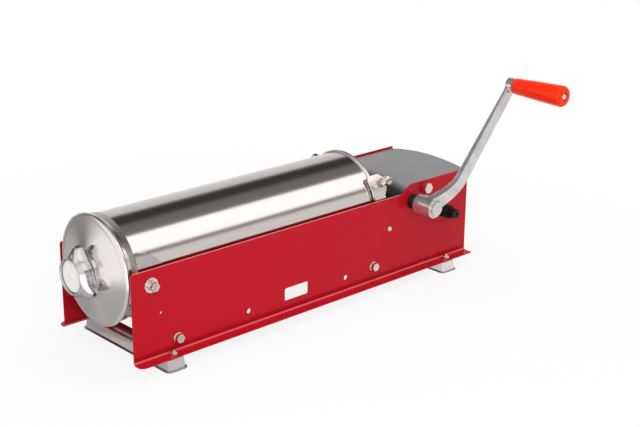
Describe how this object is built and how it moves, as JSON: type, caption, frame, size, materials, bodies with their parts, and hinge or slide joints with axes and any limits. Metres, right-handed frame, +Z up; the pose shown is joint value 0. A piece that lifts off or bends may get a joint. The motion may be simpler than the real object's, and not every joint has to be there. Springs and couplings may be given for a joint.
{
  "type": "sausage stuffer",
  "caption": "Horizontal hand-cranked sausage stuffer: steel barrel between red side panels, rack-driven piston, two-speed gearbox, crank with grip and a capped outlet.",
  "frame": {"origin": "on the bench, in the middle of the front foot's front bearing strip", "axes": "+X along the barrel towards the gearbox, +Y to the far side away from the crank, +Z up"},
  "size_m": [0.8165, 0.3991, 0.3588],
  "materials": {
    "red_paint": "gloss powder coat",
    "grey_paint": "matt grey powder coat",
    "stainless": "polished stainless sheet",
    "cast_aluminium": "polished casting",
    "bright_zinc": "bright zinc plating",
    "gear_steel": "machined steel",
    "black_plastic": "black, matt",
    "black_steel": "blackened steel",
    "orange_plastic": "gloss orange-red",
    "white_plastic": "off-white",
    "clear_rubber": "translucent seal"
  },
  "bodies": {
    "chassis": {"barrel_cap": "stainless", "barrel_rest_tube": "bright_zinc", "barrel_tube": "stainless", "cross_bolt": "bright_zinc", "cross_bolt_nut": "bright_zinc", "cross_sleeve_far": "bright_zinc", "cross_sleeve_near": "bright_zinc", "far_side_panel": "red_paint", "fast_shaft_bush": "black_plastic", "fast_shaft_far_bush": "black_plastic", "front_foot": "stainless", "front_foot_bolt_far": "bright_zinc", "front_foot_bolt_near": "bright_zinc", "front_spacer_tube": "bright_zinc", "front_tie_bolt": "bright_zinc", "front_tie_nut": "bright_zinc", "gear_plate": "gear_steel", "gearbox_cover": "grey_paint", "latch_rivet_far": "bright_zinc", "latch_rivet_near": "bright_zinc", "near_side_panel": "red_paint", "pivot_lock_nut_far": "bright_zinc", "pivot_lock_nut_near": "bright_zinc", "pivot_nut_far": "bright_zinc", "pivot_nut_near": "bright_zinc", "pivot_washer_far": "bright_zinc", "pivot_washer_near": "bright_zinc", "rear_foot": "stainless", "rear_foot_bolt_far": "bright_zinc", "rear_foot_bolt_near": "bright_zinc", "rear_plate": "gear_steel", "rear_tie_bolt": "bright_zinc", "rear_tie_nut": "bright_zinc", "slow_shaft_bush": "black_plastic", "slow_shaft_inner_bush": "black_plastic", "spigot": "cast_aluminium", "trunnion_pad_far": "stainless", "trunnion_pad_near": "stainless"},
    "piston": {"piston_plate": "stainless", "piston_seal": "clear_rubber", "piston_back_plate": "stainless", "piston_nut": "bright_zinc", "rack": "gear_steel"},
    "fast_drive": {"fast_shaft": "black_steel", "main_gear": "gear_steel", "rack_pinion": "gear_steel"},
    "slow_drive": {"slow_shaft": "black_steel", "slow_pinion": "gear_steel", "crank": "cast_aluminium", "grip_spindle": "bright_zinc"},
    "grip": {"grip": "orange_plastic"},
    "roller": {"backup_roller": "gear_steel"},
    "plug": {"plug_disc": "white_plastic"},
    "ring_nut": {"ring_nut": "cast_aluminium"},
    "latch_near": {"latch_lever_near": "stainless", "latch_knob_near": "bright_zinc"},
    "latch_far": {"latch_lever_far": "stainless", "latch_knob_far": "bright_zinc"}
  },
  "joints": [
    {"name": "fast_shaft_spin", "type": "hinge", "parent": "chassis", "child": "fast_drive", "pos_m": [0.61655, 0, 0.1163], "axis": [0, 1, 0], "range_deg": [0, 1298.7]},
    {"name": "piston_slide", "type": "slide", "parent": "chassis", "child": "piston", "axis": [1, 0, 0], "range_m": [0, 0.5101]},
    {"name": "slow_shaft_spin", "type": "hinge", "parent": "chassis", "child": "slow_drive", "pos_m": [0.54372, 0, 0.14691], "axis": [0, 1, 0], "range_deg": [-3370, 0]},
    {"name": "grip_spin", "type": "hinge", "parent": "slow_drive", "child": "grip", "pos_m": [0.70801, -0.23, 0.34063], "axis": [0, 1, 0], "continuous": true},
    {"name": "roller_spin", "type": "hinge", "parent": "chassis", "child": "roller", "pos_m": [0.57375, 0, 0.16603], "axis": [0, 1, 0], "range_deg": [-3155, 0]},
    {"name": "plug_slide", "type": "slide", "parent": "chassis", "child": "plug", "axis": [-1, 0, 0], "range_m": [0, 0.0121]},
    {"name": "ring_nut_spin", "type": "hinge", "parent": "plug", "child": "ring_nut", "pos_m": [-0.08, 0, 0.1453], "axis": [-1, 0, 0], "range_deg": [0, 1080]},
    {"name": "latch_near_swing", "type": "hinge", "parent": "chassis", "child": "latch_near", "pos_m": [0.48905, -0.09, 0.1087], "axis": [0, 1, 0], "range_deg": [0, 20]},
    {"name": "latch_far_swing", "type": "hinge", "parent": "chassis", "child": "latch_far", "pos_m": [0.48905, 0.09, 0.1087], "axis": [0, 1, 0], "range_deg": [0, 20]}
  ],
  "couplings": [
    {"joint": "piston_slide", "follows": "fast_shaft_spin", "m_per_rad": 0.0225},
    {"joint": "slow_shaft_spin", "follows": "fast_shaft_spin", "ratio": -2.5909},
    {"joint": "roller_spin", "follows": "fast_shaft_spin", "ratio": -2.4194},
    {"joint": "plug_slide", "follows": "ring_nut_spin", "m_per_rad": 0.00063662}
  ]
}
